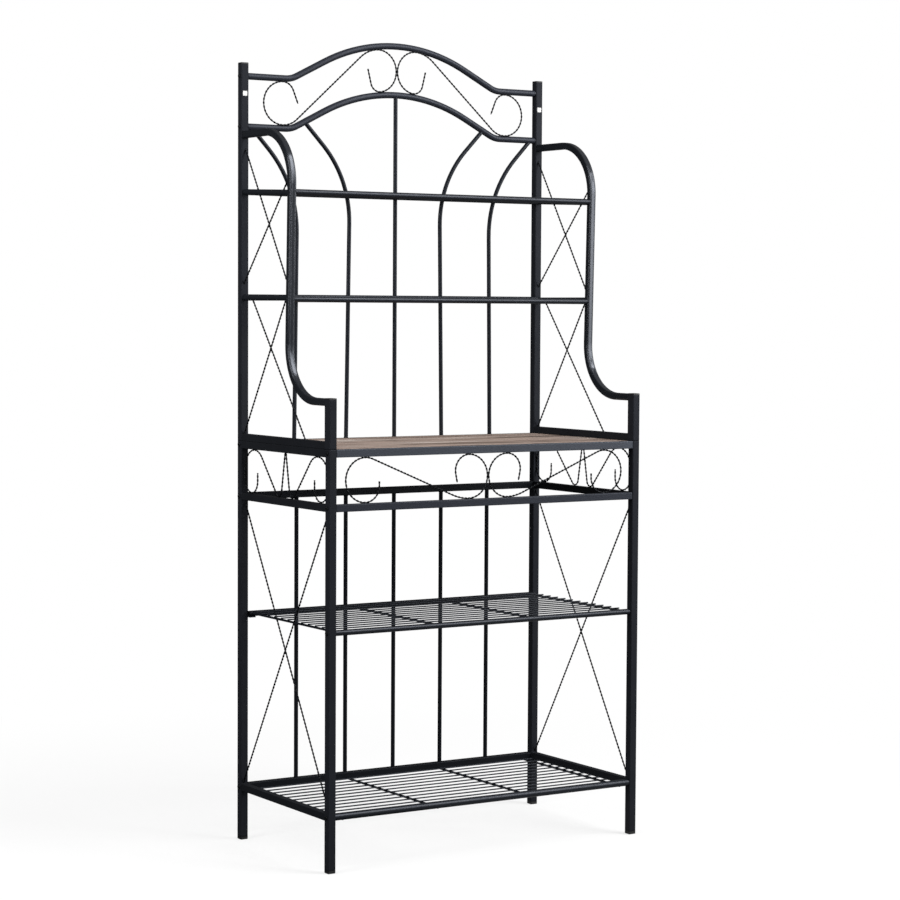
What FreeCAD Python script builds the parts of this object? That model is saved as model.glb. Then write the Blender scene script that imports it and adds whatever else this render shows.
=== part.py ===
import FreeCAD
import Part
import math
import os
from FreeCAD import Vector

# Bakers rack of bent and welded steel tube: two side frames, each built as a
# lower and an upper half, joined by a crown, a back, a front apron, a wooden
# worktop and four wire shelves.  +X runs to the right, +Y to the back, +Z up.
# The origin is on the floor in the middle of the four legs.

# Overall size over the legs
WIDTH = 761.0
DEPTH = 396.0

# Square tube of the legs and of the worktop frame, and the lighter rail tube
LEG = 17.0
LEG_CORNER = 1.5
TOP_RAIL = 16.0
RAIL = 15.0
RAIL_CORNER = 1.2
TUBE_WALL = 1.0
BORE_CORNER = 0.3

# Heights of the rail centre lines; the apron hangs from the worktop rail
BOTTOM_Z = 112.5
MID_SHELF_Z = 483.0
WORKTOP_RAIL_Z = 842.0
APRON_DROP = 109.3

# Upper posts: the rear one's top, and the front stub over the lower frame
REAR_TOP = 1643.0
STUB_HEIGHT = 102.0
STUB_DEPTH = 21.0
CAP_PLATE = 3.0
CAP_ROUND = 1.2
FOOT_HEIGHT = 6.0
PLUG_LENGTH = 14.0
PLUG_CLEARANCE = 0.15
PLUG_CORNER = 0.5

# Side bow: square tube bent forward, down, and forward again.  It leaves the
# rear post under the lower arch and ends in the stub, just under its cap.
BOW = 15.0
BOW_CORNER = 3.0
BOW_BEND = 110.0
BOW_UNDER_ARCH = 17.2
BOW_UNDER_CAP = 1.0
BOW_HIGH_RUN = 95.5
BOW_LOW_RUN = 50.5

# Crown arches, equal tubes one above the other
ARCH = 14.0
ARCH_UNDER_TOP = 28.0
ARCH_SPACING = 105.3
ARCH_LEVEL = 91.98
ARCH_SLOPE = 27.0
ARCH_CROWN_BEND = 390.0
ARCH_SHOULDER_BEND = 58.0

# Back bars, round tube.  Each fan bar has its knee under the lower arch.
BAR = 9.0
BAR_PITCH = 121.5
FAN_OUTER_INSET = 114.5
FAN_INNER = {"drop": 196.7, "lean_in": 6.5, "bend": 234.0, "lean": 43.7}
FAN_OUTER = {"drop": 219.2, "lean_in": 5.2, "bend": 250.6, "lean": 43.2}

# Twisted decorative wire
WIRE = 3.2
TOUCH = 0.03
SCROLL_INSET = 70.5
SCROLL_TAIL = 32.5
SCROLL_TAIL_END = 9.0
SCROLL_CURL = 32.7
SCROLL_CURL_LEAN = 11.5
SCROLL_CURL_END = 18.0
SCROLL_EASE = 100.0
CROWN_FORWARD = 5.0
CROWN_INSET = 82.9
CROWN_TAIL = 27.0
CROWN_TAIL_LEAN = 22.0
CROWN_TAIL_END = 30.0
CROWN_FOOT_EASE = 50.0
CROWN_TOP_EASE = 72.0
CROWN_CURL = 22.0
CROWN_CURL_LEAN = 14.0
CROWN_CURL_END = 32.0
SIDE_LOOP = 43.4
SIDE_HEEL = 31.0
SIDE_TAIL = 26.0
SIDE_TAIL_END = 17.0
SIDE_DIP = 12.6
SIDE_DIP_Y = 29.5

# Shelves
SHELF_BAR = 12.0
BOTTOM_BAR = 15.0
ROD = 5.0
SHELF_WIRE = 3.0
WIRE_PITCH = 29.0
SUPPORT_X = 117.5
MID_ROD_INSET = 9.0
MID_WIRE_INSET = 5.0
MID_ROD_RISE = 0.5
BOTTOM_ROD_INSET = 21.0
BOTTOM_WIRE_INSET = 12.0
BOTTOM_ROD_DROP = 6.0
UPPER_WIRES = 6
UPPER_WIRE_RISE = 1.0
REAR_SHELF_BAR = 10.0
REAR_BAR_RISE = 5.5
SECOND_SHELF_RISE = 298.0
SECOND_SIDE_RISE = (3.0, 3.0)
TOP_SHELF_DROP = 277.5
TOP_SIDE_RISE = (-1.5, 7.5)

# Crossing wires of the sides: how far their ends lie over a shelf or rail.
# A wire is drawn GRIP into the tube that ends it, and cut off at its face.
GRIP = 3.0
LOWER_CROSS_UNDER = 5.6
LOWER_CROSS_OVER = 3.6
HIGH_CROSS_REAR = 100.5
HIGH_CROSS_FRONT = 34.9
HIGH_CROSS_FOOT = 30.1
HIGH_CROSS_IN_BOW = 1.7
HIGH_CROSS_TOE = 7.5
MID_CROSS_REAR_INSET = 29.5
MID_CROSS_BOW_INSET = 12.8
MID_CROSS_TOE_INSET = 93.5

# Worktop board and the tabs under it
BOARD = 12.0
BOARD_PROUD = 0.3
BOARD_CLEARANCE = 0.3
BOARD_EDGE = 1.0
TAB = 2.0
TAB_X = 220.0
TAB_LENGTH = 26.0
TAB_REACH = 17.0
MID_TAB_REACH = 14.0
MID_TAB_WIDTH = 16.0
MID_TAB_BACK = 2.0

# Bolts, end nuts and joining spigots
BOLT = 6.0
BOLT_CLEARANCE = 0.2
BOLT_HEAD = 9.0
BOLT_HEAD_HEIGHT = 2.6
BOLT_HEAD_ROUND = 1.56
BOLT_DRIVE = 4.0
BOLT_DRIVE_DEPTH = 1.95
BOLT_LENGTH = 30.0
END_NUT = 12.0
SPIGOT = 70.0
STICKER = 10.0
STICKER_THICKNESS = 0.2
STICKER_DROP = 69.5

# Derived places
LEG_X = WIDTH / 2 - LEG / 2
LEG_Y = DEPTH / 2 - LEG / 2
IN_X = LEG_X - LEG / 2
IN_Y = LEG_Y - LEG / 2
APRON_Z = WORKTOP_RAIL_Z - APRON_DROP
SEAM_Z = WORKTOP_RAIL_Z + TOP_RAIL / 2
SILL_Z = SEAM_Z + RAIL / 2
STUB_TOP = SEAM_Z + STUB_HEIGHT
STUB_BACK = -DEPTH / 2 + STUB_DEPTH
ARCH_FLAT_Z = REAR_TOP - ARCH_UNDER_TOP
ARCH_LOW_Z = ARCH_FLAT_Z - ARCH_SPACING
BOW_HIGH_Z = ARCH_LOW_Z - BOW_UNDER_ARCH
BOW_LOW_Z = STUB_TOP - BOW_UNDER_CAP - BOW / 2
BOW_HIGH_Y = IN_Y - BOW_HIGH_RUN
BOW_LOW_Y = STUB_BACK + BOW_LOW_RUN
SECOND_SHELF_Z = SEAM_Z + SECOND_SHELF_RISE
TOP_SHELF_Z = REAR_TOP - TOP_SHELF_DROP
SCROLL_OUTER_X = IN_X - SCROLL_INSET
CROWN_OUTER_X = IN_X - CROWN_INSET
SIDE_PLANE = -LEG_X
WIRE_R = WIRE / 2
BACK_BAR_Y = LEG_Y - BAR / 2 - SHELF_BAR / 2 - TOUCH
UPPER_BACK_Y = LEG_Y - BAR / 2 - REAR_SHELF_BAR / 2 - TOUCH

UP = Vector(0, 0, 1)
ALONG_X = Vector(1, 0, 0)
ALONG_Y = Vector(0, 1, 0)

pieces = {}


def keep(name, *shapes):
    pieces[name] = shapes[0] if len(shapes) == 1 else Part.makeCompound(list(shapes))


def biggest(shape):
    return max(shape.Solids, key=lambda solid: solid.Volume)


def mirrored(shape, normal=ALONG_X):
    return shape.mirror(Vector(0, 0, 0), normal)


# ---- sections and the lengths swept from them ----

def square_face(width, height, corner):
    """A rounded rectangle about the origin in the XY plane."""
    w = width / 2
    h = height / 2
    lines = []
    corners = [(w, h, 0), (-w, h, 90), (-w, -h, 180), (w, -h, 270)]
    ends = []
    for x, y, turn in corners:
        cx = x - math.copysign(corner, x)
        cy = y - math.copysign(corner, y)
        arc = [Vector(cx + corner * math.cos(math.radians(turn + a)),
                      cy + corner * math.sin(math.radians(turn + a)), 0) for a in (0, 45, 90)]
        lines.append(Part.Arc(*arc).toShape())
        ends.append((arc[0], arc[2]))
    for i in range(4):
        lines.append(Part.makeLine(ends[i][1], ends[(i + 1) % 4][0]))
    return Part.Face(Part.Wire(Part.__sortEdges__(lines)))


def round_face(diameter):
    return Part.Face(Part.Wire(Part.makeCircle(diameter / 2)))


def placed(face, start, heading, across):
    """Stand a section at a point, facing along heading."""
    turn = FreeCAD.Rotation(across, heading.cross(across), heading, "ZXY")
    copy = face.copy()
    copy.Placement = FreeCAD.Placement(start, turn)
    return copy


def bar(face, start, end, across=None):
    """One straight length of a section between two points."""
    run = end - start
    heading = Vector(run).normalize()
    if across is None:
        across = UP if abs(heading.z) < 0.9 else ALONG_X
        across = (across - heading * across.dot(heading)).normalize()
    return placed(face, start, heading, across).extrude(run)


def rod(diameter, start, end):
    return bar(round_face(diameter), start, end)


def square_tube(width, height, corner, start, end, across=None):
    outer = bar(square_face(width, height, corner), start, end, across)
    bore = square_face(width - 2 * TUBE_WALL, height - 2 * TUBE_WALL,
                       max(corner - TUBE_WALL, BORE_CORNER))
    return outer.cut(bar(bore, start, end, across))


def round_tube(diameter, start, end):
    return rod(diameter, start, end).cut(rod(diameter - 2 * TUBE_WALL, start, end))


def on_circle(centre, radius, degrees):
    a = math.radians(degrees)
    return (centre[0] + radius * math.cos(a), centre[1] + radius * math.sin(a))


def swept(face, plane, start, steps):
    """Carry a section along straight runs and bends that lie in one upright
    plane.  plane is (a point, the level direction); a step is ("to", point)
    or ("turn", centre, degrees), anticlockwise when positive."""
    origin, level = plane
    axis = level.cross(UP)

    def space(p):
        return origin + level * p[0] + UP * p[1]

    kind = steps[0][0]
    if kind == "to":
        heading = (space(steps[0][1]) - space(start)).normalize()
    else:
        arm = space(start) - space(steps[0][1])
        heading = axis.cross(arm).normalize() * math.copysign(1, steps[0][2])
    section = placed(face, space(start), heading, axis)
    here = space(start)
    lengths = []
    for step in steps:
        if step[0] == "to":
            move = space(step[1]) - here
            lengths.append(section.extrude(move))
            section = section.copy()
            section.translate(move)
            here = here + move
        else:
            centre = space(step[1])
            spin = axis * math.copysign(1, step[2])
            lengths.append(section.revolve(centre, spin, abs(step[2])))
            section = section.copy()
            section.rotate(centre, spin, abs(step[2]))
            turn = FreeCAD.Rotation(spin, abs(step[2]))
            here = centre + turn.multVec(here - centre)
    return biggest(lengths[0].multiFuse(lengths[1:]).removeSplitter())


def cross_heading(a, ra, b, rb, turn):
    """Heading of the straight that leaves a bend about a and crosses over to
    an opposite bend about b; turn is +1 when the first is anticlockwise."""
    across = math.atan2(b[1] - a[1], b[0] - a[0])
    lean = math.asin((ra + rb) / math.dist(a, b))
    return math.degrees(across + turn * lean)


def trimmed(shape, *others):
    return biggest(shape.cut(list(others)))


# ---- bolts: one list drives the heads, the holes and the end nuts ----

FRONT_BOLTS = [WORKTOP_RAIL_Z, APRON_Z, MID_SHELF_Z, BOTTOM_Z]
REAR_BOLTS = [WORKTOP_RAIL_Z, APRON_Z, BOTTOM_Z]
POST_BOLTS = [ARCH_FLAT_Z, ARCH_LOW_Z]


def bolt_hole(y, z, diameter=BOLT + 2 * BOLT_CLEARANCE):
    return rod(diameter, Vector(-WIDTH / 2 - 1, y, z), Vector(-IN_X + BOLT_LENGTH, y, z))


def bolt(y, z):
    face = -WIDTH / 2
    head = rod(BOLT_HEAD, Vector(face - BOLT_HEAD_HEIGHT, y, z), Vector(face, y, z))
    rim = [e for e in head.Edges if abs(e.BoundBox.XMax + WIDTH / 2 + BOLT_HEAD_HEIGHT) < 0.01]
    head = head.makeFillet(BOLT_HEAD_ROUND, rim)
    drive = Part.makePolygon([Vector(face - BOLT_HEAD_HEIGHT,
                                     y + BOLT_DRIVE / 2 * math.cos(math.radians(60 * i)),
                                     z + BOLT_DRIVE / 2 * math.sin(math.radians(60 * i)))
                              for i in range(7)])
    socket = Part.Face(drive).extrude(Vector(BOLT_DRIVE_DEPTH, 0, 0))
    shank = rod(BOLT, Vector(face, y, z), Vector(face + BOLT_LENGTH, y, z))
    return biggest(head.cut(socket).fuse(shank).removeSplitter())


def end_nut(y, z, section):
    start = Vector(-IN_X, y, z)
    end = Vector(-IN_X + END_NUT, y, z)
    return bar(section, start, end).cut(bolt_hole(y, z, BOLT))


# ---- one lower side frame (left; the right one is its mirror) ----

def leg(y, low, high, bolts):
    tube = square_tube(LEG, LEG, LEG_CORNER, Vector(SIDE_PLANE, y, low),
                       Vector(SIDE_PLANE, y, high))
    return biggest(tube.cut([bolt_hole(y, z) for z in bolts]))


def side_rail(z, size=RAIL, front=-IN_Y):
    return square_tube(size, size, RAIL_CORNER, Vector(SIDE_PLANE, front, z),
                       Vector(SIDE_PLANE, IN_Y, z), ALONG_X)


def solid_leg(y, low, high, depth=LEG):
    middle = y + (depth - LEG) / 2
    return bar(square_face(LEG, depth, LEG_CORNER), Vector(SIDE_PLANE, middle, low),
               Vector(SIDE_PLANE, middle, high), ALONG_X)


def solid_side_rail(z, size=RAIL, front=-IN_Y):
    return bar(square_face(size, size, RAIL_CORNER), Vector(SIDE_PLANE, front, z),
               Vector(SIDE_PLANE, IN_Y, z), ALONG_X)


def brace(start, end, side, against, crossed=None):
    """A straight wire in the side plane, one of a crossing pair; side is the
    way it stands off the plane so that the two only touch.  A shelf tube in
    its way parts it into two lengths."""
    x = SIDE_PLANE + side * (WIRE_R + TOUCH / 2)
    wire = trimmed(rod(WIRE, Vector(x, *start), Vector(x, *end)), *against)
    return [wire] if crossed is None else wire.cut(crossed).Solids


left = {}
left["front_leg"] = leg(-LEG_Y, FOOT_HEIGHT, SEAM_Z, FRONT_BOLTS)
left["rear_leg"] = leg(LEG_Y, FOOT_HEIGHT, SEAM_Z, REAR_BOLTS)
left["bottom_side_rail"] = side_rail(BOTTOM_Z)
left["apron_side_rail"] = side_rail(APRON_Z)
left["worktop_side_rail"] = side_rail(WORKTOP_RAIL_Z, TOP_RAIL)

front_leg_body = solid_leg(-LEG_Y, FOOT_HEIGHT, SEAM_Z)
rear_leg_body = solid_leg(LEG_Y, FOOT_HEIGHT, REAR_TOP)
brace_low = BOTTOM_Z + RAIL / 2 + LOWER_CROSS_OVER
brace_high = APRON_Z - RAIL / 2 - LOWER_CROSS_UNDER
climb = (brace_high - brace_low) / (2 * IN_Y)
reach_y = IN_Y + GRIP
top_end = brace_high + climb * GRIP
low_end = brace_low - climb * GRIP
lower_frame = [front_leg_body, rear_leg_body, solid_side_rail(BOTTOM_Z), solid_side_rail(APRON_Z)]
left["lower_cross_wires"] = Part.makeCompound(
    brace((reach_y, top_end), (-reach_y, low_end), 1, lower_frame)
    + brace((-reach_y, top_end), (reach_y, low_end), -1, lower_frame))

# Scroll space between the apron rail and the worktop rail
SCROLL_LOW = APRON_Z + RAIL / 2 + WIRE_R + TOUCH
SCROLL_HIGH = WORKTOP_RAIL_Z - TOP_RAIL / 2 - WIRE_R - TOUCH
side_plane = (Vector(SIDE_PLANE, 0, 0), ALONG_Y)


def side_scroll():
    """Rear half of the side ornament: an open loop against the leg, a dip to
    the apron rail, and a rise to the middle of the worktop rail."""
    outer = IN_Y - WIRE_R - TOUCH
    loop = (outer - SIDE_LOOP, SCROLL_HIGH - SIDE_LOOP)
    heel = (outer - SIDE_HEEL, SCROLL_LOW + SIDE_HEEL)
    tail = (heel[0], SCROLL_LOW + SIDE_TAIL)
    tail_start = (tail[0] - SIDE_TAIL, tail[1])
    dip = (SIDE_DIP_Y, SCROLL_LOW + SIDE_DIP)
    peak = (WIRE_R + TOUCH, SCROLL_HIGH + WIRE)
    fall = cross_heading(loop, SIDE_LOOP, dip, SIDE_DIP, 1) % 360
    lean = math.atan2(peak[1] - dip[1], peak[0] - dip[0])
    rise = math.degrees(lean - math.asin(SIDE_DIP / math.dist(dip, peak)))
    steps = [("to", tail_start),
             ("turn", tail, 90),
             ("turn", heel, 90),
             ("to", (outer, loop[1])),
             ("turn", loop, fall - 90),
             ("to", on_circle(dip, SIDE_DIP, fall + 90)),
             ("turn", dip, rise - fall),
             ("to", peak)]
    wire = swept(round_face(WIRE), side_plane, (tail_start[0], tail[1] + SIDE_TAIL_END), steps)
    return trimmed(wire, solid_side_rail(WORKTOP_RAIL_Z, TOP_RAIL))


rear_scroll = side_scroll()
left["side_scrolls"] = Part.makeCompound([rear_scroll, mirrored(rear_scroll, ALONG_Y)])

# ---- one upper side frame ----

left["rear_post"] = leg(LEG_Y, SEAM_Z, REAR_TOP - CAP_PLATE, POST_BOLTS)
left["sill_rail"] = side_rail(SILL_Z, RAIL, STUB_BACK)
stub_y = -DEPTH / 2 + STUB_DEPTH / 2
left["front_stub"] = square_tube(LEG, STUB_DEPTH, LEG_CORNER,
                                 Vector(SIDE_PLANE, stub_y, SEAM_Z),
                                 Vector(SIDE_PLANE, stub_y, STUB_TOP - CAP_PLATE), ALONG_X)

bow_top = (BOW_HIGH_Y, BOW_HIGH_Z - BOW_BEND)
bow_foot = (BOW_LOW_Y, BOW_LOW_Z + BOW_BEND)
bow_fall = cross_heading(bow_top, BOW_BEND, bow_foot, BOW_BEND, 1) % 360
bow_steps = [("to", (BOW_HIGH_Y, BOW_HIGH_Z)),
             ("turn", bow_top, bow_fall - 180),
             ("to", on_circle(bow_foot, BOW_BEND, bow_fall + 90)),
             ("turn", bow_foot, 180 - bow_fall),
             ("to", (STUB_BACK, BOW_LOW_Z))]
bow_body = swept(square_face(BOW, BOW, BOW_CORNER), side_plane, (IN_Y, BOW_HIGH_Z), bow_steps)
bow_bore = swept(square_face(BOW - 2 * TUBE_WALL, BOW - 2 * TUBE_WALL, BOW_CORNER - TUBE_WALL),
                 side_plane, (IN_Y, BOW_HIGH_Z), bow_steps)
left["bow_tube"] = biggest(bow_body.cut(bow_bore))


def bow_y(z):
    """Centre line of the bow where it stands between its two bends."""
    high = on_circle(bow_top, BOW_BEND, bow_fall - 90)
    low = on_circle(bow_foot, BOW_BEND, bow_fall + 90)
    part = (z - low[1]) / (high[1] - low[1])
    return low[0] + (high[0] - low[0]) * min(max(part, 0), 1)


# ---- upper shelves, between the rear posts and the bows ----

side_bar_bodies = {}


def upper_shelf(name, z, side_rise):
    """Front tube between the bows, a tube along each side, a thinner tube at
    the back, wires from side to side and two rods that carry them."""
    front_y = bow_y(z)

    def side_z(y):
        return z + side_rise[0] + (side_rise[1] - side_rise[0]) * (y - front_y) / (LEG_Y - front_y)

    ends = [Vector(SIDE_PLANE, y, side_z(y)) for y in (front_y, LEG_Y)]
    side_body = trimmed(rod(SHELF_BAR, *ends), bow_body, rear_leg_body)
    side_bar = biggest(side_body.cut(rod(SHELF_BAR - 2 * TUBE_WALL, *ends)))
    side_bar_bodies[name] = side_body
    keep(name + "_side_bars", side_bar, mirrored(side_bar))

    bow_face = LEG_X - BOW / 2
    front_ends = (Vector(-bow_face, front_y, z), Vector(bow_face, front_y, z))
    front_body = rod(SHELF_BAR, *front_ends)
    rear_z = z + REAR_BAR_RISE
    rear_ends = (Vector(-LEG_X, UPPER_BACK_Y, rear_z), Vector(LEG_X, UPPER_BACK_Y, rear_z))
    rear_body = trimmed(rod(REAR_SHELF_BAR, *rear_ends), side_body, mirrored(side_body),
                        rear_leg_body, mirrored(rear_leg_body))
    rear_bar = biggest(rear_body.cut(rod(REAR_SHELF_BAR - 2 * TUBE_WALL, *rear_ends)))
    keep(name + "_cross_bars", round_tube(SHELF_BAR, *front_ends), rear_bar)

    grid = []
    step = (UPPER_BACK_Y - front_y) / (UPPER_WIRES + 1)
    for i in range(1, UPPER_WIRES + 1):
        y = front_y + step * i
        wire_z = side_z(y) + UPPER_WIRE_RISE
        wire = rod(SHELF_WIRE, Vector(-LEG_X, y, wire_z), Vector(LEG_X, y, wire_z))
        grid.append(trimmed(wire, side_body, mirrored(side_body)))
    drop = UPPER_WIRE_RISE - (SHELF_WIRE + ROD) / 2 - TOUCH
    for x in (-SUPPORT_X, SUPPORT_X):
        support = rod(ROD, Vector(x, front_y, side_z(front_y) + drop),
                      Vector(x, UPPER_BACK_Y, side_z(UPPER_BACK_Y) + drop))
        grid.append(trimmed(support, front_body, rear_body))
    keep(name + "_wires", *grid)


upper_shelf("second_shelf", SECOND_SHELF_Z, SECOND_SIDE_RISE)
upper_shelf("top_shelf", TOP_SHELF_Z, TOP_SIDE_RISE)

second_side = side_bar_bodies["second_shelf"]
top_side = side_bar_bodies["top_shelf"]
sill_body = solid_side_rail(SILL_Z, RAIL, STUB_BACK)
upper_frame = [rear_leg_body, bow_body, second_side]
high_front_y = bow_y(SECOND_SHELF_Z) - HIGH_CROSS_IN_BOW
left["top_cross_wires"] = Part.makeCompound(
    brace((IN_Y + GRIP, TOP_SHELF_Z + HIGH_CROSS_REAR),
          (high_front_y, SECOND_SHELF_Z + HIGH_CROSS_TOE), 1, upper_frame, top_side)
    + brace((high_front_y, TOP_SHELF_Z + HIGH_CROSS_FRONT),
            (IN_Y + GRIP, SECOND_SHELF_Z + HIGH_CROSS_FOOT), -1, upper_frame, top_side))
left["mid_cross_wires"] = Part.makeCompound(
    brace((IN_Y - MID_CROSS_REAR_INSET, SECOND_SHELF_Z + SECOND_SIDE_RISE[1]),
          (STUB_BACK + MID_CROSS_TOE_INSET, SILL_Z + GRIP), 1, [second_side, sill_body])
    + brace((bow_y(SECOND_SHELF_Z) + MID_CROSS_BOW_INSET, SECOND_SHELF_Z + SECOND_SIDE_RISE[0]),
            (IN_Y + GRIP, SILL_Z), -1, upper_frame + [sill_body]))

for name, shape in left.items():
    keep("left_" + name, shape)
    keep("right_" + name, mirrored(shape))

# ---- crown: two arches, two scrolls ----

crown_plane = (Vector(0, LEG_Y, 0), ALONG_X)
scroll_plane = (Vector(0, LEG_Y - CROWN_FORWARD, 0), ALONG_X)
arch_clear = math.sqrt((ARCH / 2 + WIRE_R + TOUCH) ** 2 - CROWN_FORWARD ** 2)
slope = math.radians(ARCH_SLOPE)
shoulder_x = IN_X - ARCH_LEVEL
crown_x = ARCH_CROWN_BEND * math.sin(slope)
slope_run = shoulder_x - ARCH_SHOULDER_BEND * math.sin(slope) - crown_x
ARCH_RISE = (slope_run * math.tan(slope)
             + (ARCH_CROWN_BEND + ARCH_SHOULDER_BEND) * (1 - math.cos(slope)))


def arch(face, flat_z):
    """Level ends at the posts, a shoulder bend, a straight slope, the crown."""
    crown = (0.0, flat_z + ARCH_RISE - ARCH_CROWN_BEND)
    shoulder_z = flat_z + ARCH_SHOULDER_BEND
    steps = [("to", (-shoulder_x, flat_z)),
             ("turn", (-shoulder_x, shoulder_z), ARCH_SLOPE),
             ("to", on_circle(crown, ARCH_CROWN_BEND, 90 + ARCH_SLOPE)),
             ("turn", crown, -2 * ARCH_SLOPE),
             ("to", on_circle((shoulder_x, shoulder_z), ARCH_SHOULDER_BEND, -90 - ARCH_SLOPE)),
             ("turn", (shoulder_x, shoulder_z), ARCH_SLOPE),
             ("to", (IN_X, flat_z))]
    return swept(face, crown_plane, (-IN_X, flat_z), steps)


arch_bodies = {}
for name, flat_z in (("crown_arch_top", ARCH_FLAT_Z), ("crown_arch_low", ARCH_LOW_Z)):
    arch_bodies[name] = arch(round_face(ARCH), flat_z)
    keep(name, biggest(arch_bodies[name].cut(arch(round_face(ARCH - 2 * TUBE_WALL), flat_z))))


def inner_loop():
    """Loop that touches its twin at the middle and both arches: the radius
    at which the two heights meet is found by halving."""
    high_centre = ARCH_FLAT_Z + ARCH_RISE - ARCH_CROWN_BEND
    low_centre = ARCH_LOW_Z + ARCH_RISE - ARCH_CROWN_BEND
    inside = ARCH_CROWN_BEND - arch_clear
    outside = ARCH_CROWN_BEND + arch_clear
    small = 30.0
    large = 60.0
    for _ in range(60):
        radius = (small + large) / 2
        x = radius + WIRE_R + TOUCH
        from_high = high_centre + math.sqrt((inside - radius) ** 2 - x * x)
        from_low = low_centre + math.sqrt((outside + radius) ** 2 - x * x)
        if from_high > from_low:
            small = radius
        else:
            large = radius
    return (-x, (from_high + from_low) / 2), radius


def crown_scroll():
    """Ring on the level of the arches, crossing straight, loop at the middle;
    each bend eases into the straight at a larger radius."""
    loop, loop_r = inner_loop()
    ring_r = ARCH_SPACING / 2 - arch_clear
    ring = (-CROWN_OUTER_X, ARCH_FLAT_Z - ARCH_SPACING / 2)
    tail = (ring[0], ring[1] + ring_r - CROWN_TAIL)
    foot = (ring[0], ring[1] - ring_r + CROWN_FOOT_EASE)
    arch_centre = ARCH_FLAT_Z + ARCH_RISE - ARCH_CROWN_BEND
    tilt = math.degrees(math.atan2(loop[1] - arch_centre, loop[0]))
    brow = on_circle(loop, loop_r - CROWN_TOP_EASE, tilt)
    curl = on_circle(loop, loop_r - CROWN_CURL, tilt + 180)
    climb = cross_heading(foot, CROWN_FOOT_EASE, brow, CROWN_TOP_EASE, 1)
    tail_start = on_circle(tail, CROWN_TAIL, CROWN_TAIL_LEAN)
    curl_end = on_circle(curl, CROWN_CURL, 180 + CROWN_CURL_LEAN)
    steps = [("to", tail_start),
             ("turn", tail, 90 - CROWN_TAIL_LEAN),
             ("turn", ring, 180),
             ("turn", foot, climb),
             ("to", on_circle(brow, CROWN_TOP_EASE, climb + 90)),
             ("turn", brow, tilt - climb - 90),
             ("turn", loop, -180),
             ("turn", curl, CROWN_CURL_LEAN - tilt),
             ("to", on_circle(curl_end, CROWN_CURL_END, 90 + CROWN_CURL_LEAN))]
    start = on_circle(tail_start, CROWN_TAIL_END, CROWN_TAIL_LEAN - 90)
    return swept(round_face(WIRE), scroll_plane, start, steps)


left_scroll = crown_scroll()
keep("crown_scrolls", left_scroll, mirrored(left_scroll))

# ---- back bars ----

low_arch = arch_bodies["crown_arch_low"]


def fan_bar(foot_x, shape, diameter):
    """A bar that stands on the back rail, leans in a little, then bends out
    and runs up into the lower arch.  It starts in the rail, to be cut there."""
    foot = (foot_x, SEAM_Z - TUBE_WALL)
    knee = (foot_x - shape["lean_in"], ARCH_LOW_Z - shape["drop"])
    heading = math.degrees(math.atan2(knee[1] - foot[1], knee[0] - foot[0]))
    centre = on_circle(knee, shape["bend"], heading - 90)
    end_heading = 90 - shape["lean"]
    bend_end = on_circle(centre, shape["bend"], end_heading + 90)
    far = on_circle(bend_end, shape["drop"], end_heading)
    steps = [("to", knee), ("turn", centre, end_heading - heading), ("to", far)]
    return swept(round_face(diameter), crown_plane, foot, steps)


back_rail_body = Part.makeBox(WIDTH, 2 * LEG, TOP_RAIL, Vector(-WIDTH / 2, LEG_Y - LEG,
                                                               SEAM_Z - TOP_RAIL))


def under_arch(shape):
    """The part of a bar between the back rail and the lower arch."""
    cut = shape.cut([low_arch, back_rail_body])
    return min(cut.Solids, key=lambda solid: solid.BoundBox.ZMin)


for name, foot_x, shape in (("fan_bars_inner", BAR_PITCH, FAN_INNER),
                            ("fan_bars_outer", IN_X - FAN_OUTER_INSET, FAN_OUTER)):
    body = under_arch(fan_bar(foot_x, shape, BAR))
    right_bar = biggest(body.cut(fan_bar(foot_x, shape, BAR - 2 * TUBE_WALL)))
    keep(name, mirrored(right_bar), right_bar)

crown_z = ARCH_LOW_Z + ARCH_RISE
centre_body = under_arch(rod(BAR, Vector(0, LEG_Y, SEAM_Z), Vector(0, LEG_Y, crown_z + ARCH)))
centre_bore = rod(BAR - 2 * TUBE_WALL, Vector(0, LEG_Y, SEAM_Z), Vector(0, LEG_Y, crown_z))
keep("back_center_bar", biggest(centre_body.cut(centre_bore)))

keep("lower_back_bars", *[
    round_tube(BAR, Vector(i * BAR_PITCH, LEG_Y, BOTTOM_Z + RAIL / 2),
               Vector(i * BAR_PITCH, LEG_Y, APRON_Z - RAIL / 2)) for i in range(-2, 3)])


# ---- rails across the front and the back ----

def cross_rail(y, z, size=RAIL):
    return square_tube(size, size, RAIL_CORNER, Vector(-IN_X, y, z), Vector(IN_X, y, z), ALONG_Y)


keep("worktop_front_rail", cross_rail(-LEG_Y, WORKTOP_RAIL_Z, TOP_RAIL))
keep("worktop_rear_rail", cross_rail(LEG_Y, WORKTOP_RAIL_Z, TOP_RAIL))
keep("apron_front_rail", cross_rail(-LEG_Y, APRON_Z))
keep("apron_rear_rail", cross_rail(LEG_Y, APRON_Z))
keep("bottom_rear_rail", cross_rail(LEG_Y, BOTTOM_Z))


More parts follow.
